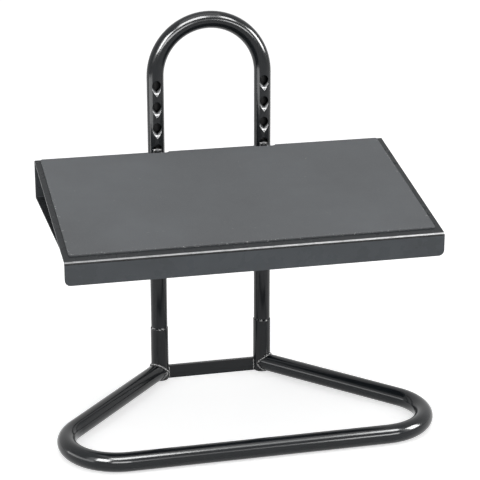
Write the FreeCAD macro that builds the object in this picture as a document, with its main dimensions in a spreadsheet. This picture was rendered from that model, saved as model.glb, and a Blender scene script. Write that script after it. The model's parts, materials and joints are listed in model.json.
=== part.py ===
import FreeCAD, Part
import math
import os
import Sketcher
from FreeCAD import Placement, Rotation, Vector

# Tilting under-desk footrest. A steel ring base carries two upright sockets,
# a bent tube mast with notched legs plugs into them, and a folded sheet
# platform hangs on the legs by two hangers whose pins sit in the notches.
# Frame: floor at z = 0, origin midway between the legs, the user at -Y.

doc = FreeCAD.newDocument("footrest")
sizes = doc.addObject("Spreadsheet::Sheet", "Sizes")

DRIVING_SIZES = [
    # steel tube of the mast
    ("tube_diameter", 22.2),
    ("tube_wall", 1.4),
    # steel tube of ring and sockets
    ("base_tube_diameter", 23.8),
    ("ring_wall", 1.5),
    ("socket_wall", 2.2),
    # mast
    ("leg_spacing", 143.0),
    ("mast_height", 502.6),
    ("shoulder_length", 6.0),
    ("shoulder_round", 1.3),
    ("spigot_length", 34.0),
    ("spigot_clearance", 0.1),
    # sockets, their plugs and screws
    ("socket_top", 75.0),
    ("socket_rim_round", 1.0),
    ("plug_flange", 2.0),
    ("plug_round", 1.2),
    ("plug_stem", 14.0),
    ("screw_diameter", 4.0),
    ("screw_clearance", 0.1),
    ("screw_level", 55.0),
    ("screw_reach", 6.0),
    ("screw_head_diameter", 8.0),
    ("screw_head_height", 2.6),
    ("screw_recess_length", 4.4),
    ("screw_recess_width", 1.0),
    ("screw_recess_depth", 1.4),
    # ring base
    ("base_width", 483.0),
    ("base_depth", 274.5),
    ("corner_radius", 66.0),
    ("cross_bar_height", 18.0),
    ("cross_bar_thickness", 5.0),
    ("weld_size", 2.2),
    # notches in the fronts of the legs
    ("notches", 7),
    ("notch_pitch", 28.0),
    ("top_notch_level", 410.3),
    ("notch_radius", 5.8),
    ("notch_tip", 8.5),
    ("dent_radius", 8.6),
    ("dent_shift", 2.0),
    ("dent_tip", 14.2),
    ("dent_depth", 2.0),
    ("dent_draft", 55.0),
    # the notch in use, counted from the top one
    ("used_notch", 3),
    # pins and hangers
    ("pin_diameter", 5.0),
    ("pin_running_gap", 0.05),
    ("pin_head_diameter", 7.0),
    ("pin_head_length", 3.6),
    ("pin_head_gap", 0.1),
    ("pin_lip_gap", 0.4),
    ("hanger_thickness", 3.0),
    ("hanger_eye_diameter", 9.0),
    ("hanger_seat_gap", 0.3),
    ("hanger_arm_below", 3.1),
    ("hanger_arm_above", 0.9),
    ("hanger_reach", 62.0),
    ("hanger_nose", 7.0),
    ("hanger_weld", 2.2),
    ("hanger_weld_start", 9.0),
    ("hanger_weld_length", 34.0),
    # platform sheet
    ("platform_width", 466.0),
    ("platform_drop", 2.9),
    ("platform_tilt", 12.7),
    ("top_length", 259.0),
    ("sheet", 1.5),
    ("front_bend_radius", 2.5),
    ("rear_bend_radius", 1.5),
    ("front_flange", 28.5),
    ("flange_corner", 7.0),
    ("rear_flange", 51.0),
    ("leg_gap", 0.3),
    ("relief_width", 24.5),
    ("relief_depth", 6.0),
    ("relief_drop", 10.0),
    ("relief_round", 1.0),
    # panel that closes the wedge below
    ("panel_sheet", 1.2),
    ("panel_bend_radius", 1.2),
    ("panel_lip", 14.0),
    # foot mat
    ("mat_thickness", 1.6),
    ("mat_corner", 2.5),
    ("mat_side_margin", 7.5),
    ("mat_front_margin", 13.5),
    ("mat_rear_margin", 4.2),
    ("mat_relief_margin", 1.0),
]

for row, (alias, number) in enumerate(DRIVING_SIZES, start=1):
    sizes.set(f"A{row}", alias)
    sizes.set(f"B{row}", str(number))
    sizes.setAlias(f"B{row}", alias)
doc.recompute()


def value(expression):
    """Number that an expression of the sheet's sizes gives now."""
    result = sizes.evalExpression(str(expression))
    return float(getattr(result, "Value", result))


# Shared places, as expressions of the sheet's sizes
TUBE_R = "(Sizes.tube_diameter / 2)"
BORE_R = "(Sizes.tube_diameter / 2 - Sizes.tube_wall)"
BASE_R = "(Sizes.base_tube_diameter / 2)"
RING_BORE_R = "(Sizes.base_tube_diameter / 2 - Sizes.ring_wall)"
SOCKET_BORE_R = "(Sizes.base_tube_diameter / 2 - Sizes.socket_wall)"
HALF_LEGS = "(Sizes.leg_spacing / 2)"
TILT = "Sizes.platform_tilt"
USED_NOTCH_Z = "(Sizes.top_notch_level - Sizes.used_notch * Sizes.notch_pitch)"
LIP_BACK = f"({BORE_R} - Sizes.dent_depth)"
LEVEL = f"({USED_NOTCH_Z} - Sizes.platform_drop)"
REAR_Y = "(-Sizes.tube_diameter / 2 - Sizes.leg_gap)"
FRONT_Y = f"({REAR_Y} - Sizes.top_length * cos({TILT}))"
FRONT_Z = f"({LEVEL} - Sizes.top_length * sin({TILT}))"
REAR_INNER_Y = f"({REAR_Y} - Sizes.sheet)"
PANEL_Z = f"({LEVEL} - Sizes.rear_flange)"
RELIEF_Y = "(-Sizes.tube_diameter / 2 - Sizes.relief_depth)"

# The hanger's arm sits just above where its thickness meets the notch's two slopes
SEAT_DEPTH = "Sizes.hanger_thickness / 2 / tan(asin(Sizes.notch_radius / Sizes.notch_tip))"
ARM_LOW = f"({USED_NOTCH_Z} - Sizes.notch_tip + {SEAT_DEPTH} + Sizes.hanger_seat_gap)"
PIN_Y = f"(Sizes.pin_head_diameter / 2 + Sizes.pin_lip_gap - {LIP_BACK})"
PIN_Z = f"({ARM_LOW} + Sizes.hanger_arm_below)"


def under_top(y):
    """Height of the top sheet's underside at the given y."""
    return f"({LEVEL} - Sizes.sheet / cos({TILT}) + (({y}) - {REAR_Y}) * tan({TILT}))"


def bind(item, **expressions):
    """Tie properties to expressions; base_x and the like are placement offsets."""
    for name, expression in expressions.items():
        path = name
        if name.startswith("base_"):
            path = f".Placement.Base.{name[-1]}"
        item.setExpression(path, str(expression))


# Bodies and sketches

def new_body(label):
    body = doc.addObject("PartDesign::Body", label)
    body.Label = label
    return body


def new_sketch(body, name, plane, offset="0"):
    """Sketch on one of the body's own origin planes, moved along its normal."""
    sketch = body.newObject("Sketcher::SketchObject", f"{body.Name}_{name}")
    origin_plane = [part for part in body.Origin.OriginFeatures if part.Role == plane][0]
    sketch.AttachmentSupport = [(origin_plane, "")]
    sketch.MapMode = "FlatFace"
    sketch.setExpression(".AttachmentOffset.Base.z", str(offset))
    return sketch


def pin_point(sketch, geometry, position, u, v):
    """Hold a point of the sketch at (u, v), both expressions."""
    for kind, expression in (("DistanceX", u), ("DistanceY", v)):
        number = value(expression)
        index = sketch.addConstraint(Sketcher.Constraint(kind, -1, 1, geometry, position, number))
        sketch.setExpression(f"Constraints[{index}]", str(expression))


def set_radius(sketch, geometry, expression):
    index = sketch.addConstraint(Sketcher.Constraint("Radius", geometry, value(expression)))
    sketch.setExpression(f"Constraints[{index}]", str(expression))


def add_circle(sketch, u, v, radius):
    circle = Part.Circle(Vector(value(u), value(v), 0), Vector(0, 0, 1), value(radius))
    geometry = sketch.addGeometry(circle)
    pin_point(sketch, geometry, 3, u, v)
    set_radius(sketch, geometry, radius)


def bend_at(before, corner, after, radius):
    """Arc that rounds a corner, its two ends on the runs and whether it turns left."""
    to_before = (before - corner).normalize()
    to_after = (after - corner).normalize()
    half_angle = to_before.getAngle(to_after) / 2
    run = radius / math.tan(half_angle)
    entry = corner + to_before * run
    leave = corner + to_after * run
    centre = corner + (to_before + to_after).normalize() * (radius / math.sin(half_angle))
    turns_left = to_after.cross(to_before).z > 0
    first, last = (entry, leave) if turns_left else (leave, entry)
    angles = [math.atan2(end.y - centre.y, end.x - centre.x) for end in (first, last)]
    arc = Part.ArcOfCircle(Part.Circle(centre, Vector(0, 0, 1), radius), *angles)
    return arc, entry, leave, turns_left


def add_outline(sketch, corners, closed=True):
    """Straight runs between corners (u, v) or (u, v, radius of the bend there)."""
    count = len(corners)
    points = [Vector(value(corner[0]), value(corner[1]), 0) for corner in corners]
    bends = {}
    for i, corner in enumerate(corners):
        if len(corner) == 3:
            bends[i] = bend_at(points[i - 1], points[i], points[(i + 1) % count], value(corner[2]))
    runs = []
    for i in range(count if closed else count - 1):
        j = (i + 1) % count
        start = bends[i][2] if i in bends else points[i]
        end = bends[j][1] if j in bends else points[j]
        runs.append(sketch.addGeometry(Part.LineSegment(start, end)))
    for i, corner in enumerate(corners):
        inward = runs[i - 1] if closed or i > 0 else None
        outward = runs[i] if i < len(runs) else None
        if i in bends:
            arc = sketch.addGeometry(bends[i][0])
            entry, leave = (1, 2) if bends[i][3] else (2, 1)
            mark = sketch.addGeometry(Part.Point(points[i]), True)
            sketch.addConstraint(Sketcher.Constraint("Tangent", inward, 2, arc, entry))
            sketch.addConstraint(Sketcher.Constraint("Tangent", arc, leave, outward, 1))
            sketch.addConstraint(Sketcher.Constraint("PointOnObject", mark, 1, inward))
            sketch.addConstraint(Sketcher.Constraint("PointOnObject", mark, 1, outward))
            pin_point(sketch, mark, 1, corner[0], corner[1])
            set_radius(sketch, arc, corner[2])
        elif inward is None:
            pin_point(sketch, outward, 1, corner[0], corner[1])
        elif outward is None:
            pin_point(sketch, inward, 2, corner[0], corner[1])
        else:
            sketch.addConstraint(Sketcher.Constraint("Coincident", inward, 2, outward, 1))
            pin_point(sketch, outward, 1, corner[0], corner[1])


def add_teardrop(sketch, u, v, radius, tip):
    """Round top about (u, v) that runs down into a point, tip below the centre."""
    centre = Vector(value(u), value(v), 0)
    round_radius = value(radius)
    lean = math.asin(round_radius / value(tip))
    ends = [centre + Vector(side * math.cos(lean), -math.sin(lean), 0) * round_radius
            for side in (-1, 1)]
    lowest = centre - Vector(0, value(tip), 0)
    circle = Part.Circle(centre, Vector(0, 0, 1), round_radius)
    arc = sketch.addGeometry(Part.ArcOfCircle(circle, -lean, math.pi + lean))
    left = sketch.addGeometry(Part.LineSegment(ends[0], lowest))
    right = sketch.addGeometry(Part.LineSegment(lowest, ends[1]))
    sketch.addConstraint(Sketcher.Constraint("Tangent", arc, 2, left, 1))
    sketch.addConstraint(Sketcher.Constraint("Coincident", left, 2, right, 1))
    sketch.addConstraint(Sketcher.Constraint("Tangent", right, 2, arc, 1))
    pin_point(sketch, arc, 3, u, v)
    pin_point(sketch, left, 2, u, f"{v} - ({tip})")
    set_radius(sketch, arc, radius)


# Features

def pad(body, sketch, length, both_sides=False, backwards=False):
    feature = body.newObject("PartDesign::Pad", f"{sketch.Name}_pad")
    feature.Profile = sketch
    feature.SideType = "Symmetric" if both_sides else "One side"
    feature.Reversed = backwards
    bind(feature, Length=length)
    doc.recompute()
    return feature


def pocket(body, sketch, length, backwards=False):
    """Cut along the sketch's normal turned round, or along it when backwards."""
    before = body.Shape.Volume
    feature = body.newObject("PartDesign::Pocket", f"{sketch.Name}_pocket")
    feature.Profile = sketch
    feature.Reversed = backwards
    bind(feature, Length=length)
    doc.recompute()
    if body.Shape.Volume > before - 1e-6:
        raise ValueError(f"{feature.Name} cuts nothing")
    return feature


def revolve(body, sketch, axis):
    feature = body.newObject("PartDesign::Revolution", f"{sketch.Name}_turned")
    feature.Profile = sketch
    feature.ReferenceAxis = (sketch, [axis])
    feature.Angle = 360
    doc.recompute()
    return feature


def pipe(body, profile, path):
    feature = body.newObject("PartDesign::AdditivePipe", f"{path.Name}_pipe")
    feature.Profile = profile
    feature.Spine = (path, [])
    doc.recompute()
    return feature


def mirror_in_yz(body, features):
    feature = body.newObject("PartDesign::Mirrored", f"{body.Name}_mirrored")
    feature.Originals = features
    plane = [part for part in body.Origin.OriginFeatures if part.Role == "YZ_Plane"][0]
    feature.MirrorPlane = (plane, [""])
    body.Tip = feature
    doc.recompute()
    return feature


def round_edges(body, radius, picked):
    """Round the edges of the body's last feature whose middle the test picks."""
    base = body.Tip
    names = []
    for number, edge in enumerate(base.Shape.Edges, start=1):
        if picked(edge):
            names.append(f"Edge{number}")
    feature = body.newObject("PartDesign::Fillet", f"{body.Name}_rounded")
    feature.Base = (base, names)
    bind(feature, Radius=radius)
    doc.recompute()
    return feature


nodes = []


def keep(item, label):
    """Note an object as a sub-part of its own."""
    item.Label = label
    nodes.append(item)
    return item


def group(label, members):
    """Several like solids that share one sub-part."""
    compound = doc.addObject("Part::Compound", label)
    compound.Links = members
    doc.recompute()
    return keep(compound, label)


def add_shape(label, solids):
    """Sub-part whose solids are worked out below."""
    feature = doc.addObject("Part::Feature", label)
    feature.Shape = solids[0] if len(solids) == 1 else Part.Compound(solids)
    return keep(feature, label)


SIDES = {"left": -1, "right": 1}


# Ring base

def side_bar_angle():
    """Angle between a side bar and the line of the legs, seen from above."""
    across = f"(Sizes.base_width / 2 - {BASE_R} - Sizes.corner_radius - {HALF_LEGS})"
    along = "(Sizes.base_depth - Sizes.corner_radius)"
    to_centre = f"atan2({along}; {across})"
    return f"({to_centre} - asin(Sizes.corner_radius / sqrt({across}^2 + {along}^2)))"


def make_base_tube():
    """One bent tube: front bar, two round corners and the side bars to the sockets."""
    body = new_body("base_tube")
    path = new_sketch(body, "path", "XY_Plane", BASE_R)
    corner_x = f"({HALF_LEGS} + Sizes.base_depth / tan({side_bar_angle()}))"
    front_y = "(-Sizes.base_depth)"
    add_outline(path, [("0", front_y), (corner_x, front_y, "Sizes.corner_radius"),
                       (HALF_LEGS, "0")], closed=False)
    section = new_sketch(body, "section", "YZ_Plane")
    add_circle(section, front_y, BASE_R, BASE_R)
    add_circle(section, front_y, BASE_R, RING_BORE_R)
    half = pipe(body, section, path)
    mirror_in_yz(body, [half])
    coping = new_sketch(body, "coping", "XY_Plane")
    for side in SIDES.values():
        add_circle(coping, f"{side} * {HALF_LEGS}", "0", BASE_R)
    pocket(body, coping, "Sizes.base_tube_diameter * 1.5", backwards=True)
    return keep(body, "base_tube")


def make_socket(name, side):
    """Upright stub tube with a rounded rim and a screw hole at the back."""
    body = new_body(f"{name}_socket")
    section = new_sketch(body, "section", "XZ_Plane")
    add_outline(section, [(SOCKET_BORE_R, "Sizes.plug_flange"), (BASE_R, "Sizes.plug_flange"),
                          (BASE_R, "Sizes.socket_top", "Sizes.socket_rim_round"),
                          (SOCKET_BORE_R, "Sizes.socket_top")])
    revolve(body, section, "V_Axis")
    hole = new_sketch(body, "hole", "XZ_Plane")
    add_circle(hole, "0", "Sizes.screw_level", "Sizes.screw_diameter / 2 + Sizes.screw_clearance")
    pocket(body, hole, "Sizes.base_tube_diameter")
    bind(body, base_x=f"{side} * {HALF_LEGS}")
    return keep(body, f"{name}_socket")


def make_plug(name, side):
    """Plug in the socket's foot: a rounded flange on the floor and a stem above."""
    body = new_body(f"{name}_socket_plug")
    section = new_sketch(body, "section", "XZ_Plane")
    add_outline(section, [("0", "0"), (BASE_R, "0", "Sizes.plug_round"),
                          (BASE_R, "Sizes.plug_flange"), (SOCKET_BORE_R, "Sizes.plug_flange"),
                          (SOCKET_BORE_R, "Sizes.plug_flange + Sizes.plug_stem"),
                          ("0", "Sizes.plug_flange + Sizes.plug_stem")])
    revolve(body, section, "V_Axis")
    bind(body, base_x=f"{side} * {HALF_LEGS}")
    return keep(body, f"{name}_socket_plug")


def make_screw(name, side):
    """Pan-head screw along +Y through the backs of socket and spigot, cross in its head."""
    body = new_body(f"{name}_screw")
    head_top = f"({BASE_R} + Sizes.screw_head_height)"
    section = new_sketch(body, "section", "XZ_Plane")
    add_outline(section, [("0", f"{BASE_R} - Sizes.screw_reach"),
                          ("Sizes.screw_diameter / 2", f"{BASE_R} - Sizes.screw_reach"),
                          ("Sizes.screw_diameter / 2", BASE_R),
                          ("Sizes.screw_head_diameter / 2", BASE_R),
                          ("Sizes.screw_head_diameter / 2", head_top, "Sizes.screw_head_height / 2"),
                          ("0", head_top)])
    revolve(body, section, "V_Axis")
    recess = new_sketch(body, "recess", "XY_Plane", head_top)
    arm = "Sizes.screw_recess_length / 2"
    half = "Sizes.screw_recess_width / 2"
    quarter = [(arm, half), (half, half), (half, arm)]
    turned = [(f"-({v})", u) for u, v in quarter]
    halfway = quarter + turned
    add_outline(recess, halfway + [(f"-({u})", f"-({v})") for u, v in halfway])
    pocket(body, recess, "Sizes.screw_recess_depth")
    body.Placement = Placement(Vector(), Rotation(Vector(1, 0, 0), -90))
    bind(body, base_x=f"{side} * {HALF_LEGS}", base_z="Sizes.screw_level")
    return body


def make_cross_bar():
    """Flat bar on edge between the two sockets, coped to their round sides."""
    body = new_body("cross_bar")
    plan = new_sketch(body, "plan", "XY_Plane")
    half_thick = "Sizes.cross_bar_thickness / 2"
    add_outline(plan, [(f"-{HALF_LEGS}", f"-{half_thick}"), (HALF_LEGS, f"-{half_thick}"),
                       (HALF_LEGS, half_thick), (f"-{HALF_LEGS}", half_thick)])
    pad(body, plan, "Sizes.cross_bar_height")
    coping = new_sketch(body, "coping", "XY_Plane")
    for side in SIDES.values():
        add_circle(coping, f"{side} * {HALF_LEGS}", "0", BASE_R)
    pocket(body, coping, "Sizes.cross_bar_height * 2", backwards=True)
    return keep(body, "cross_bar")


def weld_ring(grown, plain, above):
    """Bead in the corner between two bars: both grown by its size, less the bars."""
    bead = grown[0].common(grown[1])
    for bar in plain:
        bead = bead.cut(bar)
    return bead.common(above).Solids


def make_base_welds():
    """Beads round the side bars' ends and up both sides of the cross bar's ends."""
    radius = value(BASE_R)
    bead = value("Sizes.weld_size")
    angle = math.radians(value(side_bar_angle()))
    reach = 3 * radius
    bar_high = value("Sizes.cross_bar_height")
    half_thick = value("Sizes.cross_bar_thickness / 2")
    inner = value(HALF_LEGS)
    side_beads = []
    bar_beads = []
    for side in SIDES.values():
        foot = Vector(side * inner, 0, 0)
        axis_point = foot + Vector(0, 0, radius)
        along = Vector(side * math.cos(angle), -math.sin(angle), 0)
        upright = [Part.makeCylinder(size, 4 * radius, foot) for size in (radius + bead, radius)]
        side_bar = [Part.makeCylinder(size, reach, axis_point, along)
                    for size in (radius + bead, radius)]
        above = Part.makeBox(4 * reach, 4 * reach, 4 * radius,
                             foot + Vector(-2 * reach, -2 * reach, bead / 2))
        side_beads += weld_ring((upright[0], side_bar[0]), (upright[1], side_bar[1]), above)
        start = min(side * inner, 0)
        bar = Part.makeBox(inner, 2 * half_thick, bar_high, Vector(start, -half_thick, 0))
        grown_bar = Part.makeBox(inner, 2 * (half_thick + bead), bar_high,
                                 Vector(start, -half_thick - bead, 0))
        clear = grown_bar.cut(side_bar[0])
        bar_beads += weld_ring((upright[0], clear), (upright[1], bar), grown_bar)
    add_shape("side_bar_welds", side_beads)
    add_shape("cross_bar_welds", bar_beads)


# Mast

def flat_sketch(name, level):
    """Sketch that faces the front, at the given distance in front of the legs' axes."""
    sketch = doc.addObject("Sketcher::SketchObject", name)
    sketch.Placement = Placement(Vector(), Rotation(Vector(1, 0, 0), 90))
    bind(sketch, base_y=f"-({level})")
    return sketch


def notch_cutter(name, radius, tip, shift, level, length, draft=None):
    """One prism per notch and leg, from its level back along +Y, tapering by the draft."""
    sketch = flat_sketch(f"{name}_outlines", level)
    for side in SIDES.values():
        for index in range(int(value("Sizes.notches"))):
            centre = f"(Sizes.top_notch_level - {index} * Sizes.notch_pitch - ({shift}))"
            add_teardrop(sketch, f"{side} * {HALF_LEGS}", centre, radius, f"({tip}) - ({shift})")
    cutter = doc.addObject("Part::Extrusion", name)
    cutter.Base = sketch
    cutter.DirMode = "Custom"
    cutter.Dir = Vector(0, 1, 0)
    cutter.Solid = True
    bind(cutter, LengthFwd=length)
    if draft:
        bind(cutter, TaperAngle=f"-({draft})")
    doc.recompute()
    return cutter


def make_mast():
    """Bent tube with swaged ends and a row of teardrop notches in each leg."""
    blank = new_body("mast_blank")
    arch_level = f"(Sizes.mast_height - {TUBE_R} - {HALF_LEGS})"
    arch_top = f"(Sizes.mast_height - {TUBE_R})"
    legs_start = "(Sizes.socket_top + Sizes.shoulder_length)"
    path = new_sketch(blank, "path", "XZ_Plane")
    springing = Vector(value(HALF_LEGS), value(arch_level), 0)
    leg_run = path.addGeometry(Part.LineSegment(Vector(springing.x, value(legs_start), 0), springing))
    bend = Part.Circle(Vector(0, springing.y, 0), Vector(0, 0, 1), springing.x)
    arch = path.addGeometry(Part.ArcOfCircle(bend, 0, math.pi / 2))
    path.addConstraint(Sketcher.Constraint("Tangent", leg_run, 2, arch, 1))
    pin_point(path, leg_run, 1, HALF_LEGS, legs_start)
    pin_point(path, arch, 3, "0", arch_level)
    pin_point(path, arch, 2, "0", arch_top)
    section = new_sketch(blank, "section", "XY_Plane", legs_start)
    add_circle(section, HALF_LEGS, "0", TUBE_R)
    add_circle(section, HALF_LEGS, "0", BORE_R)
    leg = pipe(blank, section, path)
    end = new_sketch(blank, "end", "XZ_Plane")
    spigot_r = f"({SOCKET_BORE_R} - Sizes.spigot_clearance)"
    spigot_bore = f"({spigot_r} - Sizes.tube_wall)"
    spigot_end = "(Sizes.socket_top - Sizes.spigot_length)"
    shoulder = "(Sizes.socket_top + Sizes.shoulder_length / 2)"
    add_outline(end, [(f"{HALF_LEGS} + {TUBE_R}", legs_start),
                      (f"{HALF_LEGS} + {TUBE_R}", "Sizes.socket_top", "Sizes.shoulder_round"),
                      (f"{HALF_LEGS} + {spigot_r}", "Sizes.socket_top"),
                      (f"{HALF_LEGS} + {spigot_r}", spigot_end),
                      (f"{HALF_LEGS} + {spigot_bore}", spigot_end),
                      (f"{HALF_LEGS} + {spigot_bore}", shoulder),
                      (f"{HALF_LEGS} + {BORE_R}", legs_start)])
    axis = end.addGeometry(Part.LineSegment(Vector(value(HALF_LEGS), 0, 0),
                                            Vector(value(HALF_LEGS), 10, 0)), True)
    pin_point(end, axis, 1, HALF_LEGS, "0")
    pin_point(end, axis, 2, HALF_LEGS, "10")
    swage = revolve(blank, end, "Axis0")
    mirror_in_yz(blank, [leg, swage])
    hole = new_sketch(blank, "hole", "XZ_Plane")
    for side in SIDES.values():
        add_circle(hole, f"{side} * {HALF_LEGS}", "Sizes.screw_level",
                   "Sizes.screw_diameter / 2 + Sizes.screw_clearance")
    pocket(blank, hole, "Sizes.tube_diameter")

    lips = notch_cutter("notch_lips", "Sizes.dent_radius", "Sizes.dent_tip", "Sizes.dent_shift",
                        TUBE_R, "Sizes.dent_depth + Sizes.tube_wall")
    cores = []
    for name, side in SIDES.items():
        core = doc.addObject("Part::Cylinder", f"{name}_core")
        bind(core, Radius=f"{BORE_R} + Sizes.tube_wall / 2", Height="Sizes.mast_height",
             base_x=f"{side} * {HALF_LEGS}")
        cores.append(core)
    both_cores = doc.addObject("Part::MultiFuse", "leg_cores")
    both_cores.Shapes = cores
    inner_lips = doc.addObject("Part::MultiCommon", "inner_lips")
    inner_lips.Shapes = [lips, both_cores]
    lipped = doc.addObject("Part::MultiFuse", "lipped_mast")
    lipped.Shapes = [blank, inner_lips]
    holes = notch_cutter("notch_holes", "Sizes.notch_radius", "Sizes.notch_tip", "0",
                         f"{TUBE_R} + 1", f"{TUBE_R} + 1 - {LIP_BACK} + 1")
    dents = notch_cutter("notch_dents", "Sizes.dent_radius", "Sizes.dent_tip", "Sizes.dent_shift",
                         TUBE_R, "Sizes.dent_depth", "Sizes.dent_draft")
    cutters = doc.addObject("Part::MultiFuse", "notch_cutters")
    cutters.Shapes = [holes, dents]
    mast = doc.addObject("Part::Cut", "mast_tube")
    mast.Base = lipped
    mast.Tool = cutters
    doc.recompute()
    return keep(mast, "mast_tube")


# Pins and hangers

def make_pivot_pin(name, side):
    """Short headed pin behind the leg's front wall; the hanger turns on its shank."""
    body = new_body(f"{name}_pivot_pin")
    section = new_sketch(body, "section", "XZ_Plane")
    shank = "(Sizes.hanger_thickness / 2 + Sizes.pin_head_gap)"
    end = f"({shank} + Sizes.pin_head_length)"
    shank_r = "Sizes.pin_diameter / 2"
    head_r = "Sizes.pin_head_diameter / 2"
    add_outline(section, [(f"-{end}", "0"), (f"-{end}", head_r), (f"-{shank}", head_r),
                          (f"-{shank}", shank_r), (shank, shank_r), (shank, head_r),
                          (end, head_r), (end, "0")])
    revolve(body, section, "H_Axis")
    bind(body, base_x=f"{side} * {HALF_LEGS}", base_y=PIN_Y, base_z=PIN_Z)
    return keep(body, f"{name}_pivot_pin")


def make_hanger(name, side):
    """Upright plate in the wedge with an arm that reaches into the leg's notch."""
    body = new_body(f"{name}_hanger")
    side_view = new_sketch(body, "side_view", "YZ_Plane")
    far_y = f"({REAR_Y} - Sizes.hanger_reach)"
    arm_high = f"({PIN_Z} + Sizes.hanger_arm_above)"
    heel_z = f"({PANEL_Z} + Sizes.panel_lip + 2 * Sizes.panel_sheet)"
    add_outline(side_view, [
        (PIN_Y, arm_high),
        (RELIEF_Y, under_top(RELIEF_Y)),
        (far_y, under_top(far_y)),
        (far_y, f"{under_top(far_y)} - Sizes.hanger_nose", "Sizes.hanger_nose / 2"),
        (REAR_INNER_Y, heel_z),
        (REAR_INNER_Y, ARM_LOW),
        (PIN_Y, ARM_LOW)])
    pad(body, side_view, "Sizes.hanger_thickness", both_sides=True)
    eye = new_sketch(body, "eye", "YZ_Plane")
    add_circle(eye, PIN_Y, PIN_Z, "Sizes.hanger_eye_diameter / 2")
    pad(body, eye, "Sizes.hanger_thickness", both_sides=True)
    bore = new_sketch(body, "bore", "YZ_Plane", "Sizes.hanger_thickness")
    add_circle(bore, PIN_Y, PIN_Z, "Sizes.pin_diameter / 2 + Sizes.pin_running_gap")
    pocket(body, bore, "Sizes.hanger_thickness * 2")
    bind(body, base_x=f"{side} * {HALF_LEGS}")
    return keep(body, f"{name}_hanger")


def make_hanger_welds():
    """Fillet beads between the hangers' faces and the top sheet's underside."""
    bead = value("Sizes.hanger_weld")
    tilt = math.radians(value(TILT))
    down = Vector(0, math.sin(tilt), -math.cos(tilt))
    forward = Vector(0, -math.cos(tilt), -math.sin(tilt))
    start_y = value(f"{RELIEF_Y} - Sizes.hanger_weld_start")
    start_z = value(under_top(start_y))
    beads = []
    for side in SIDES.values():
        for face in (-1, 1):
            x = side * value(HALF_LEGS) + face * value("Sizes.hanger_thickness / 2")
            corner = Vector(x, start_y, start_z)
            wire = Part.makePolygon([corner, corner + Vector(face * bead, 0, 0), corner + down * bead,
                                     corner])
            beads.append(Part.Face(wire).extrude(forward * value("Sizes.hanger_weld_length")))
    return add_shape("hanger_welds", beads)


# Platform

def make_platform_tray():
    """Folded sheet: sloping top, front flange and upright rear flange, cut for the legs."""
    body = new_body("platform_tray")
    side_view = new_sketch(body, "side_view", "YZ_Plane")
    front_outer = "Sizes.front_bend_radius + Sizes.sheet"
    rear_outer = "Sizes.rear_bend_radius + Sizes.sheet"
    front_low = f"({FRONT_Z} - Sizes.front_flange)"
    front_inner_y = f"({FRONT_Y} + Sizes.sheet)"
    add_outline(side_view, [
        (FRONT_Y, front_low),
        (FRONT_Y, FRONT_Z, front_outer),
        (REAR_Y, LEVEL, rear_outer),
        (REAR_Y, PANEL_Z),
        (REAR_INNER_Y, PANEL_Z),
        (REAR_INNER_Y, under_top(REAR_INNER_Y), "Sizes.rear_bend_radius"),
        (front_inner_y, under_top(front_inner_y), "Sizes.front_bend_radius"),
        (front_inner_y, front_low)])
    pad(body, side_view, "Sizes.platform_width", both_sides=True)
    corner_x = value("Sizes.platform_width / 2")
    corner_z = value(front_low)

    def is_flange_corner(edge):
        middle = edge.CenterOfMass
        at_corner = abs(abs(middle.x) - corner_x) < 1e-3 and abs(middle.z - corner_z) < 1e-3
        return at_corner and edge.Length < value("Sizes.sheet") * 1.01

    round_edges(body, "Sizes.flange_corner", is_flange_corner)
    reliefs = new_sketch(body, "reliefs", "XY_Plane", f"{LEVEL} + 1")
    for side in SIDES.values():
        low_x = f"({side} * {HALF_LEGS} - Sizes.relief_width / 2)"
        high_x = f"({side} * {HALF_LEGS} + Sizes.relief_width / 2)"
        add_outline(reliefs, [(low_x, RELIEF_Y, "Sizes.relief_round"),
                              (high_x, RELIEF_Y, "Sizes.relief_round"), (high_x, "0"), (low_x, "0")])
    pocket(body, reliefs, "Sizes.relief_drop + 1")
    return keep(body, "platform_tray")


def make_under_panel():
    """Level panel under the wedge: a lip up the rear flange and one along the top sheet."""
    body = new_body("under_panel")
    side_view = new_sketch(body, "side_view", "YZ_Plane")
    thick = "Sizes.panel_sheet"
    back_y = REAR_INNER_Y
    bend_top_y = f"({REAR_Y} + ({PANEL_Z} + {thick} - {under_top(REAR_Y)}) / tan({TILT}))"
    bend_low_y = f"({REAR_Y} + ({PANEL_Z} + {thick} / cos({TILT}) - {under_top(REAR_Y)}) / tan({TILT}))"
    tip_top_y = f"({bend_top_y} - Sizes.panel_lip * cos({TILT}))"
    tip_low_y = f"({tip_top_y} + {thick} * sin({TILT}))"
    lip_top = f"({PANEL_Z} + Sizes.panel_lip)"
    add_outline(side_view, [
        (back_y, lip_top),
        (back_y, PANEL_Z, f"Sizes.panel_bend_radius + {thick}"),
        (bend_low_y, PANEL_Z),
        (tip_low_y, f"{under_top(tip_top_y)} - {thick} * cos({TILT})"),
        (tip_top_y, under_top(tip_top_y)),
        (bend_top_y, f"{PANEL_Z} + {thick}"),
        (f"{back_y} - {thick}", f"{PANEL_Z} + {thick}", "Sizes.panel_bend_radius"),
        (f"{back_y} - {thick}", lip_top)])
    pad(body, side_view, "Sizes.platform_width", both_sides=True)
    return keep(body, "under_panel")


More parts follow.
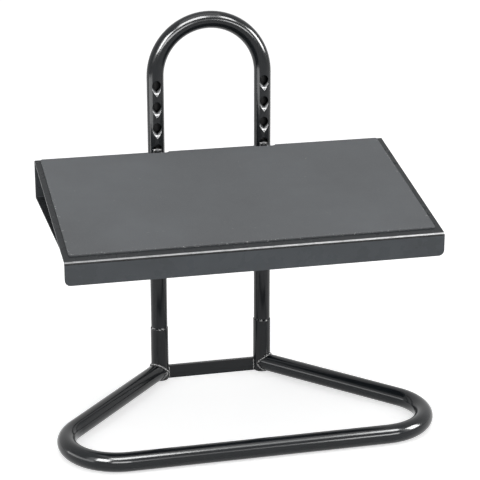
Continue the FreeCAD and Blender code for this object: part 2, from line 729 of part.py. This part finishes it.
def make_mat():
    """Thin foot mat on the sloping top, cut back round the legs."""
    body = new_body("foot_mat")
    plan = new_sketch(body, "plan", "XY_Plane")
    half = "(Sizes.platform_width / 2 - Sizes.mat_side_margin)"
    rear = "(-Sizes.mat_rear_margin)"
    front = "(-(Sizes.top_length - Sizes.mat_front_margin))"
    margin = "Sizes.mat_relief_margin"
    notch_y = f"(-(Sizes.relief_depth - Sizes.leg_gap + {margin}) / cos({TILT}))"
    corners = [(f"-{half}", front, "Sizes.mat_corner"), (half, front, "Sizes.mat_corner"),
               (half, rear, "Sizes.mat_corner")]
    for side in (1, -1):
        high_x = f"({side} * {HALF_LEGS} + Sizes.relief_width / 2 + {margin})"
        low_x = f"({side} * {HALF_LEGS} - Sizes.relief_width / 2 - {margin})"
        corners += [(high_x, rear), (high_x, notch_y), (low_x, notch_y), (low_x, rear)]
    corners.append((f"-{half}", rear, "Sizes.mat_corner"))
    add_outline(plan, corners)
    pad(body, plan, "Sizes.mat_thickness")
    body.Placement = Placement(Vector(), Rotation(Vector(1, 0, 0), value(TILT)))
    body.setExpression(".Placement.Rotation.Angle", TILT)
    bind(body, base_y=REAR_Y, base_z=LEVEL)
    return keep(body, "foot_mat")


make_base_tube()
make_cross_bar()
for side_name, side_sign in SIDES.items():
    make_socket(side_name, side_sign)
    make_plug(side_name, side_sign)
make_base_welds()
make_mast()
group("socket_screws", [make_screw(side_name, side_sign) for side_name, side_sign in SIDES.items()])
for side_name, side_sign in SIDES.items():
    make_pivot_pin(side_name, side_sign)
    make_hanger(side_name, side_sign)
make_hanger_welds()
make_platform_tray()
make_under_panel()
make_mat()

doc.recompute()
for item in doc.Objects:
    faults = [word for word in item.State if word in ("Invalid", "Error")]
    if faults:
        raise RuntimeError(f"{item.Label}: {faults}")
for item in nodes:
    if item.Shape.isNull() or not item.Shape.isValid():
        raise RuntimeError(f"{item.Label}: shape is not valid")
    print(f"{item.Label}: {len(item.Shape.Solids)} solids, {item.Shape.Volume / 1000:.2f} cm3")

os.makedirs("parts", exist_ok=True)
for item in nodes:
    item.Shape.exportStep(f"parts/{item.Label}.step")
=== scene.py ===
import json
import math
import random

import bpy
from mathutils import Matrix, Vector


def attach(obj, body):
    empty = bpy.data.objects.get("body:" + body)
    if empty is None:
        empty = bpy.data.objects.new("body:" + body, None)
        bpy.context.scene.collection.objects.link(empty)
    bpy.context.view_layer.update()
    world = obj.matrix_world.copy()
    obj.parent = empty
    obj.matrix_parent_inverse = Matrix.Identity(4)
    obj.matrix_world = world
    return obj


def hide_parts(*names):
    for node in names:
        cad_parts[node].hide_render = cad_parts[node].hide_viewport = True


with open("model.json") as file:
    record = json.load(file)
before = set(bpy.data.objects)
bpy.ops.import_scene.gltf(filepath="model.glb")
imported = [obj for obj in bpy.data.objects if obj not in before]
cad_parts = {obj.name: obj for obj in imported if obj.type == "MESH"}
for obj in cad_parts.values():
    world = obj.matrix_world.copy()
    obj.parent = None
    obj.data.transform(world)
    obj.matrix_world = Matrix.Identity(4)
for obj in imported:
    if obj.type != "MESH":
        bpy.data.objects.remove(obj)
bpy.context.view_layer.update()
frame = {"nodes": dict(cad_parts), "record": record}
nodes = frame["nodes"]
scene = bpy.context.scene

# Sizes shared with the solids, in metres
BASE_TUBE_R = 0.0119
HALF_LEGS = 0.0715
SIDE_BAR_ANGLE = math.radians(49.336)
CROSS_BAR_HEIGHT = 0.018
CROSS_BAR_HALF = 0.0025
SOCKET_TOP = 0.075
MAST_TUBE_R = 0.0111
TOP_NOTCH_Z = 0.4103
LAST_NOTCH_Z = 0.2423
NOTCH_PITCH = 0.028
DENT_DROP = 0.0025
MAT_HALF_WIDTH = 0.2255
MAT_FRONT_Y = -0.2509
FRONT_BEND_Y = -0.261

# Camera fitted to the photograph: millimetres, metres and radians
LENS = 128.85
SENSOR_WIDTH = 36.0
CAMERA_PLACE = (-0.48345, -2.13649, 0.90775)
CAMERA_TURN = (0.24074, 0.31559, -0.00176)

# Weld beads: sides of their section, step along them and ripples drawn ahead
BEAD_SIDES = 12
BEAD_STEP = 0.0003
RIPPLES = 200

# Radius and pitch of the ripples in the beads at the side bars and the cross bar
SIDE_BAR_BEAD = (0.0019, 0.0026)
CROSS_BAR_BEAD = (0.0014, 0.0024)

# Levels of a noise between which a tone changes in patches, and in clouds
PATCHY = (0.35, 0.7)
CLOUDY = (0.3, 0.7)

# Floor: half its side, its grey, and its glow towards the camera
FLOOR_REACH = 6.0
FLOOR_GREY = 0.82
FLOOR_GLOW = 0.6

# Sockets of a colour mix
MIX_FIRST, MIX_SECOND, MIX_RESULT = 6, 7, 2


def make_camera():
    data = bpy.data.cameras.new("camera")
    camera = bpy.data.objects.new("camera", data)
    scene.collection.objects.link(camera)
    data.sensor_fit = "HORIZONTAL"
    data.sensor_width = SENSOR_WIDTH
    data.lens = LENS
    data.clip_start = 0.05
    data.clip_end = 50.0
    yaw, pitch, roll = CAMERA_TURN
    forward = Vector((math.sin(yaw) * math.cos(pitch), math.cos(yaw) * math.cos(pitch),
                      -math.sin(pitch)))
    right = forward.cross(Vector((0, 0, 1))).normalized()
    up = right.cross(forward)
    turned_right = right * math.cos(roll) + up * math.sin(roll)
    turned_up = up * math.cos(roll) - right * math.sin(roll)
    rotation = Matrix((turned_right, turned_up, -forward)).transposed()
    camera.matrix_world = Matrix.Translation(CAMERA_PLACE) @ rotation.to_4x4()
    scene.camera = camera


class Nodes:
    """A node tree whose nodes are made and joined by short calls."""

    def __init__(self, owner, output):
        owner.use_nodes = True
        self.tree = owner.node_tree
        self.tree.nodes.clear()
        self.output = self.tree.nodes.new(output)

    def node(self, kind, **settings):
        made = self.tree.nodes.new(kind)
        for key, setting in settings.items():
            setattr(made, key, setting)
        return made

    def feed(self, socket, source):
        if isinstance(source, bpy.types.NodeSocket):
            self.tree.links.new(source, socket)
        else:
            socket.default_value = source

    def span(self, source, low, high, to_low=0.0, to_high=1.0):
        made = self.node("ShaderNodeMapRange")
        self.feed(made.inputs["Value"], source)
        for key, number in (("From Min", low), ("From Max", high), ("To Min", to_low),
                            ("To Max", to_high)):
            made.inputs[key].default_value = number
        return made.outputs["Result"]

    def math(self, operation, first, second=0.0):
        made = self.node("ShaderNodeMath", operation=operation)
        self.feed(made.inputs[0], first)
        self.feed(made.inputs[1], second)
        return made.outputs["Value"]

    def both(self, first, second):
        return self.math("MULTIPLY", first, second)

    def band(self, source, low, high, fade):
        """1 between the two values, fading to 0 at each."""
        return self.both(self.span(source, low, low + fade), self.span(source, high, high - fade))

    def shown(self):
        """1 where the ray comes from the camera, a gloss or a glass, else 0."""
        rays = self.node("ShaderNodeLightPath").outputs
        seen = self.math("MAXIMUM", rays["Is Camera Ray"], rays["Is Glossy Ray"])
        return self.math("MAXIMUM", seen, rays["Is Transmission Ray"])


class Shader(Nodes):
    """A material on the part's own coordinates, in metres."""

    def __init__(self, name):
        self.material = bpy.data.materials.new(name)
        super().__init__(self.material, "ShaderNodeOutputMaterial")
        coordinates = self.node("ShaderNodeTexCoord").outputs
        self.place = coordinates["Object"]
        self.facing = coordinates["Normal"]

    def noise(self, scale, detail=4.0, roughness=0.55):
        made = self.node("ShaderNodeTexNoise")
        self.feed(made.inputs["Vector"], self.place)
        made.inputs["Scale"].default_value = scale
        made.inputs["Detail"].default_value = detail
        made.inputs["Roughness"].default_value = roughness
        return made.outputs["Fac"]

    def axis(self, name, source=None):
        """One coordinate of the place on the part, or of another vector."""
        made = self.node("ShaderNodeSeparateXYZ")
        self.feed(made.inputs["Vector"], source or self.place)
        return made.outputs[name]

    def length(self, first, second):
        squares = [self.both(part, part) for part in (first, second)]
        return self.math("SQRT", self.math("ADD", *squares))

    def mix(self, amount, first, second):
        made = self.node("ShaderNodeMix", data_type="RGBA")
        self.feed(made.inputs["Factor"], amount)
        self.feed(made.inputs[MIX_FIRST], first)
        self.feed(made.inputs[MIX_SECOND], second)
        return made.outputs[MIX_RESULT]

    def bump(self, height, distance, strength=1.0, under=None):
        made = self.node("ShaderNodeBump")
        self.feed(made.inputs["Height"], height)
        made.inputs["Distance"].default_value = distance
        made.inputs["Strength"].default_value = strength
        if under is not None:
            self.feed(made.inputs["Normal"], under)
        return made.outputs["Normal"]

    def surface(self, **sockets):
        made = self.node("ShaderNodeBsdfPrincipled")
        for key, source in sockets.items():
            self.feed(made.inputs[key.replace("_", " ").title().replace("Ior", "IOR")], source)
        self.feed(self.output.inputs["Surface"], made.outputs["BSDF"])


def grey(level, blue=0.0):
    """Linear colour of a near-neutral 0..255 level, a little bluer where asked."""
    linear = []
    for shift in (-blue, 0.0, blue):
        part = (level + shift) / 255
        linear.append(part / 12.92 if part < 0.04045 else ((part + 0.055) / 1.055) ** 2.4)
    return (*linear, 1.0)


def tube_paint():
    """Gloss black paint, chipped at the socket joints.

    In the dents below the notches it is dull but for a rubbed crescent.
    """
    s = Shader("tube_paint")
    colour = s.mix(s.span(s.noise(14.0), *PATCHY), grey(24, 3), grey(31, 4))
    colour = s.mix(s.span(s.noise(900.0, 2.0), 0.68, 0.8, 0.0, 0.35), colour, grey(69, 1))
    off_joint = s.math("ABSOLUTE", s.math("SUBTRACT", s.axis("Z"), SOCKET_TOP))
    chips = s.both(s.span(off_joint, 0.0016, 0.0008), s.span(s.noise(330.0, 2.0, 0.7), 0.56, 0.6))
    colour = s.mix(chips, colour, grey(225))
    aside = s.math("SUBTRACT", s.math("ABSOLUTE", s.axis("X")), HALF_LEGS)
    sunk = s.span(s.length(aside, s.axis("Y")), MAST_TUBE_R - 0.00015, MAST_TUBE_R - 0.0003)
    notched = s.band(s.axis("Z"), LAST_NOTCH_Z - 0.02, TOP_NOTCH_Z + 0.01, 0.001)
    level = s.math("SUBTRACT", s.axis("Z"), TOP_NOTCH_Z - NOTCH_PITCH / 2 - DENT_DROP)
    level = s.math("SUBTRACT", s.math("FLOORED_MODULO", level, NOTCH_PITCH), NOTCH_PITCH / 2)
    crescent = s.band(s.length(aside, level), 0.0073, 0.0092, 0.0004)
    dull = s.both(s.both(sunk, notched), s.math("SUBTRACT", 1.0, crescent))
    s.surface(base_color=colour, roughness=s.span(dull, 0.0, 1.0, 0.14, 0.5),
              normal=s.bump(s.noise(420.0, 2.0), 0.00005, 0.1), specular_ior_level=0.3)
    return s.material


def sheet_paint():
    """Black paint on the folded sheets, painted by facing: darker on top faces as painted shade,
    lighter elsewhere as painted reflection, with a painted dark line and a painted highlight along
    the front bend.
    """
    s = Shader("sheet_paint")
    # The sheet's tone is raised well above black paint to stand in for the pale floor's reflection on
    # the flange: painted reflection
    colour = s.mix(s.span(s.noise(14.0), *PATCHY), grey(84, 3), grey(91, 4))
    colour = s.mix(s.span(s.noise(900.0, 2.0), 0.68, 0.8, 0.0, 0.2), colour, grey(129, 1))
    # Faces that look up are painted darker than the flange below them: painted shade by facing
    colour = s.mix(s.span(s.axis("Z", s.facing), 0.9, 0.96), colour, grey(54, 2))
    # Along the front bend: a painted dark line (painted shade) under a painted highlight that grows
    # brighter towards the right
    turn = s.axis("Y", s.facing)
    at_bend = s.span(s.axis("Y"), FRONT_BEND_Y + 0.001, FRONT_BEND_Y)
    shade = s.both(s.span(turn, -0.84, -0.9), s.span(turn, -0.999, -0.99))
    colour = s.mix(s.both(shade, at_bend), colour, grey(26))
    crest = s.both(s.span(turn, -0.36, -0.46), s.span(turn, -0.84, -0.78))
    crest = s.both(crest, s.span(s.axis("X"), -0.2, 0.15, 0.45, 1.0))
    painted_bend_highlight = s.both(crest, s.span(s.noise(120.0, 3.0), 0.3, 0.55, 0.6, 1.0))
    colour = s.mix(s.both(painted_bend_highlight, at_bend), colour, grey(235))
    peel = s.bump(s.noise(420.0, 2.0), 0.00005, 0.1)
    s.surface(base_color=colour, roughness=s.span(s.noise(40.0), *CLOUDY, 0.24, 0.32),
              normal=peel, specular_ior_level=0.1)
    return s.material


def mat_rubber():
    """Grey grip mat: mottled, finely pebbled, with small pale scuffs and a worn rim."""
    s = Shader("mat_rubber")
    broad = s.span(s.noise(9.0, 5.0), *CLOUDY)
    tone = s.mix(broad, grey(95, 2), grey(106, 3))
    fine = s.span(s.noise(1100.0, 3.0, 0.7), *PATCHY, 0.0, 0.7)
    tone = s.mix(fine, tone, grey(110, 2))
    scuff = s.both(s.span(s.noise(260.0, 3.0, 0.7), 0.66, 0.72),
                   s.span(s.noise(25.0, 3.0), 0.55, 0.7))
    colour = s.mix(scuff, tone, grey(150, 1))
    from_side = s.math("SUBTRACT", MAT_HALF_WIDTH, s.math("ABSOLUTE", s.axis("X")))
    from_front = s.math("SUBTRACT", s.axis("Y"), MAT_FRONT_Y)
    rim = s.span(s.math("MINIMUM", from_side, from_front), 0.0045, 0.001)
    worn = s.both(rim, s.span(s.noise(420.0, 3.0, 0.7), 0.6, 0.7))
    colour = s.mix(worn, colour, grey(190))
    grain = s.bump(s.noise(1500.0, 3.0, 0.6), 0.00012, 0.6)
    pebbles = s.bump(s.noise(420.0, 2.0), 0.00012, 0.35, grain)
    s.surface(base_color=colour, roughness=s.span(s.noise(60.0), *CLOUDY, 0.78, 0.92),
              normal=pebbles, specular_ior_level=0.08)
    return s.material


def plug_plastic():
    """Dull black plastic."""
    s = Shader("plug_plastic")
    colour = s.mix(s.span(s.noise(60.0), *CLOUDY), grey(28), grey(38))
    s.surface(base_color=colour, roughness=s.span(s.noise(200.0), *CLOUDY, 0.45, 0.6),
              normal=s.bump(s.noise(1400.0, 2.0), 0.00005, 0.5))
    return s.material


def black_steel():
    """Dark plated steel of pins and screws."""
    s = Shader("black_steel")
    colour = s.mix(s.span(s.noise(150.0), *PATCHY), grey(52), grey(84))
    s.surface(base_color=colour, metallic=1.0,
              roughness=s.span(s.noise(300.0), *CLOUDY, 0.3, 0.45),
              normal=s.bump(s.noise(900.0, 2.0), 0.00003, 0.5))
    return s.material


def weld_steel():
    """Painted bead: the same black, rougher and with bright ripples."""
    s = Shader("weld_steel")
    colour = s.mix(s.span(s.noise(700.0, 3.0), 0.45, 0.75), grey(24), grey(110))
    s.surface(base_color=colour, roughness=s.span(s.noise(500.0), *CLOUDY, 0.12, 0.26),
              normal=s.bump(s.noise(1200.0, 2.0), 0.0001, 0.8), coat_weight=0.5,
              coat_roughness=0.06)
    return s.material


MATERIALS = {
    "black_paint": tube_paint(),
    "mat_rubber": mat_rubber(),
    "plug_plastic": plug_plastic(),
    "black_steel": black_steel(),
}
SHEET_PAINT = sheet_paint()
SHEET_NODES = ("platform_tray", "under_panel")
WELD_PAINT = weld_steel()


def dress_nodes():
    """Give every solid its slot's material, and the sheets their own paint."""
    slots = {part["node"]: part["material_slot"] for part in frame["record"]["subparts"]}
    for name, item in nodes.items():
        for slot in item.material_slots:
            slot.material = SHEET_PAINT if name in SHEET_NODES else MATERIALS[slots[name]]


def bead_faces(rings):
    """Quads between the rings of a bead, and a face over each end."""
    faces = []
    for start in range(0, (rings - 1) * BEAD_SIDES, BEAD_SIDES):
        for j in range(BEAD_SIDES):
            k = (j + 1) % BEAD_SIDES
            faces.append((start + j, start + k, start + BEAD_SIDES + k, start + BEAD_SIDES + j))
    faces.append(tuple(range(BEAD_SIDES - 1, -1, -1)))
    faces.append(tuple((rings - 1) * BEAD_SIDES + j for j in range(BEAD_SIDES)))
    return faces


def small_steps(path):
    """Points along a path, one bead step apart."""
    points = []
    for a, b in zip(path, path[1:]):
        count = max(1, round((b - a).length / BEAD_STEP))
        points += [a.lerp(b, i / count) for i in range(count)]
    points.append(path[-1])
    return points


def bead(name, path, radius, pitch, seed):
    """Tube along a path whose radius swells once per ripple, closed at its ends."""
    rng = random.Random(seed)
    points = small_steps(path)
    lumps = [rng.uniform(0.75, 1.2) for _ in range(RIPPLES)]
    swing = [rng.uniform(-0.2, 0.2) for _ in range(RIPPLES)]
    verts = []
    run = 0.0
    for i, point in enumerate(points):
        before, after = points[max(i - 1, 0)], points[min(i + 1, len(points) - 1)]
        along = (after - before).normalized()
        side = along.orthogonal().normalized()
        if abs(along.z) < 0.95:
            side = along.cross(Vector((0, 0, 1))).normalized()
        upward = side.cross(along)
        if i:
            run += (point - points[i - 1]).length
        place = run / pitch
        index = int(place) % (RIPPLES - 1)
        ease = (1 - math.cos(math.pi * (place % 1))) / 2
        lump = lumps[index] * (1 - ease) + lumps[index + 1] * ease
        shove = (swing[index] * (1 - ease) + swing[index + 1] * ease) * radius
        size = radius * lump * (0.72 + 0.28 * abs(math.sin(math.pi * place)))
        ends = min(i, len(points) - 1 - i) * BEAD_STEP / radius
        size *= math.sqrt(max(0.0, 1 - (1 - min(1.0, ends)) ** 2)) * 0.97 + 0.03
        for j in range(BEAD_SIDES):
            angle = 2 * math.pi * j / BEAD_SIDES
            spot = point + side * (math.cos(angle) * size + shove) + upward * math.sin(angle) * size
            verts.append(tuple(spot))
    mesh = bpy.data.meshes.new(name)
    mesh.from_pydata(verts, [], bead_faces(len(points)))
    mesh.validate()
    for face in mesh.polygons:
        face.use_smooth = True
    piece = bpy.data.objects.new(name, mesh)
    scene.collection.objects.link(piece)
    mesh.materials.append(WELD_PAINT)
    return piece


def side_bar_seam(side):
    """Line where the side bar meets its socket, from low at the back over the top."""
    axis = Vector((side * HALF_LEGS, 0, BASE_TUBE_R))
    along = Vector((side * math.cos(SIDE_BAR_ANGLE), -math.sin(SIDE_BAR_ANGLE), 0))
    across = Vector((side * math.sin(SIDE_BAR_ANGLE), math.cos(SIDE_BAR_ANGLE), 0))
    round_bar = BASE_TUBE_R * 1.03
    path = []
    for degrees in range(-55, 236, 3):
        angle = math.radians(degrees)
        out = abs(math.sin(angle)) * BASE_TUBE_R
        spot = axis + across * (math.cos(angle) * round_bar) + along * (out + 0.0004)
        spot.z += math.sin(angle) * round_bar
        path.append(spot)
    return path


def make_welds():
    """Beads at the ends of side bars and cross bar."""
    socket_face = math.sqrt(BASE_TUBE_R ** 2 - CROSS_BAR_HALF ** 2)
    for name, side in (("left", -1), ("right", 1)):
        piece = bead(f"{name}_side_bar_weld", side_bar_seam(side), *SIDE_BAR_BEAD, 11 + side)
        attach(piece, "stand")
        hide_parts("side_bar_welds")
        for face, back in (("front", -1), ("back", 1)):
            x = side * (HALF_LEGS - socket_face - 0.0004)
            y = back * (CROSS_BAR_HALF + 0.0002)
            path = [Vector((x, y, 0.0016)), Vector((x, y, CROSS_BAR_HEIGHT - 0.0006))]
            seed = 31 + side + 5 * back
            strip = bead(f"{name}_{face}_cross_bar_weld", path, *CROSS_BAR_BEAD, seed)
            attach(strip, "stand")
            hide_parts("cross_bar_welds")


def make_floor():
    """Pale floor that glows for the camera and keeps the shadow."""
    mesh = bpy.data.meshes.new("floor")
    corners = [(x * FLOOR_REACH, y * FLOOR_REACH, 0) for x, y in ((-1, -1), (1, -1), (1, 1), (-1, 1))]
    mesh.from_pydata(corners, [], [(0, 1, 2, 3)])
    floor = bpy.data.objects.new("floor", mesh)
    scene.collection.objects.link(floor)
    s = Shader("floor_paper")
    paper = s.node("ShaderNodeBsdfDiffuse")
    paper.inputs["Color"].default_value = (FLOOR_GREY, FLOOR_GREY, FLOOR_GREY, 1)
    glow = s.node("ShaderNodeEmission")
    glow.inputs["Color"].default_value = (1, 1, 1, 1)
    s.feed(glow.inputs["Strength"], s.both(s.shown(), FLOOR_GLOW))
    total = s.node("ShaderNodeAddShader")
    s.feed(total.inputs[0], paper.outputs["BSDF"])
    s.feed(total.inputs[1], glow.outputs["Emission"])
    s.feed(s.output.inputs["Surface"], total.outputs["Shader"])
    mesh.materials.append(s.material)


def make_world():
    """White to look at, and half as strong as light."""
    world = bpy.data.worlds.new("studio")
    scene.world = world
    n = Nodes(world, "ShaderNodeOutputWorld")
    background = n.node("ShaderNodeBackground")
    background.inputs["Color"].default_value = (1, 1, 1, 1)
    n.feed(background.inputs["Strength"], n.span(n.shown(), 0.0, 1.0, 0.5, 1.0))
    n.feed(n.output.inputs["Surface"], background.outputs["Background"])


def soft_box(name, place, aim, size, radiance):
    """Rectangular lamp; a card is a bright panel beside the set."""
    data = bpy.data.lights.new(name, "AREA")
    data.shape = "RECTANGLE"
    data.size, data.size_y = size
    data.energy = radiance * math.pi * size[0] * size[1]
    lamp = bpy.data.objects.new(name, data)
    scene.collection.objects.link(lamp)
    lamp.location = place
    lamp.rotation_euler = (Vector(aim) - Vector(place)).to_track_quat("-Z", "Y").to_euler()
    lamp.visible_diffuse = not name.endswith("card")


# Lamps: name, place, aim, size and radiance; the cards only show in gloss
LAMPS = (
    ("top_box", (0.0, -0.2, 2.4), (0, -0.1, 0.2), (1.8, 1.2), 1.9),
    ("left_box", (-2.0, -1.2, 1.4), (0, 0, 0.25), (1.0, 1.6), 2.4),
    ("right_box", (2.0, -1.4, 1.3), (0, 0, 0.25), (0.9, 1.6), 2.4),
    ("key_left_card", (-0.25, -1.1, 1.8), (-0.35, -0.05, 0.4), (1.0, 0.7), 36),
    ("key_card", (0.49, -1.1, 1.8), (0.49, -0.05, 0.4), (0.44, 0.7), 7),
    ("key_right_card", (1.0, -1.1, 1.8), (1.0, -0.05, 0.4), (0.56, 0.7), 36),
    ("front_left_card", (-0.5, -2.6, 0.95), (0, 0, 0.42), (1.4, 0.6), 18),
    ("front_card", (0.5, -2.6, 0.85), (0, 0, 0.42), (0.6, 0.5), 3),
    ("front_right_card", (1.2, -2.5, 0.8), (0, 0, 0.42), (0.9, 0.5), 20),
    ("left_card", (-1.2, -1.3, 1.26), (0, 0, 0.4), (0.7, 0.9), 45),
    ("right_card", (1.7, -0.7, 0.97), (0, 0, 0.4), (0.7, 0.8), 45),
    ("left_low_card", (-0.95, -0.25, 0.16), (0, -0.05, 0.3), (0.9, 0.22), 5),
)


scene.view_settings.view_transform = "Standard"
make_camera()
dress_nodes()
make_welds()
make_floor()
make_world()
for lamp_facts in LAMPS:
    soft_box(*lamp_facts)
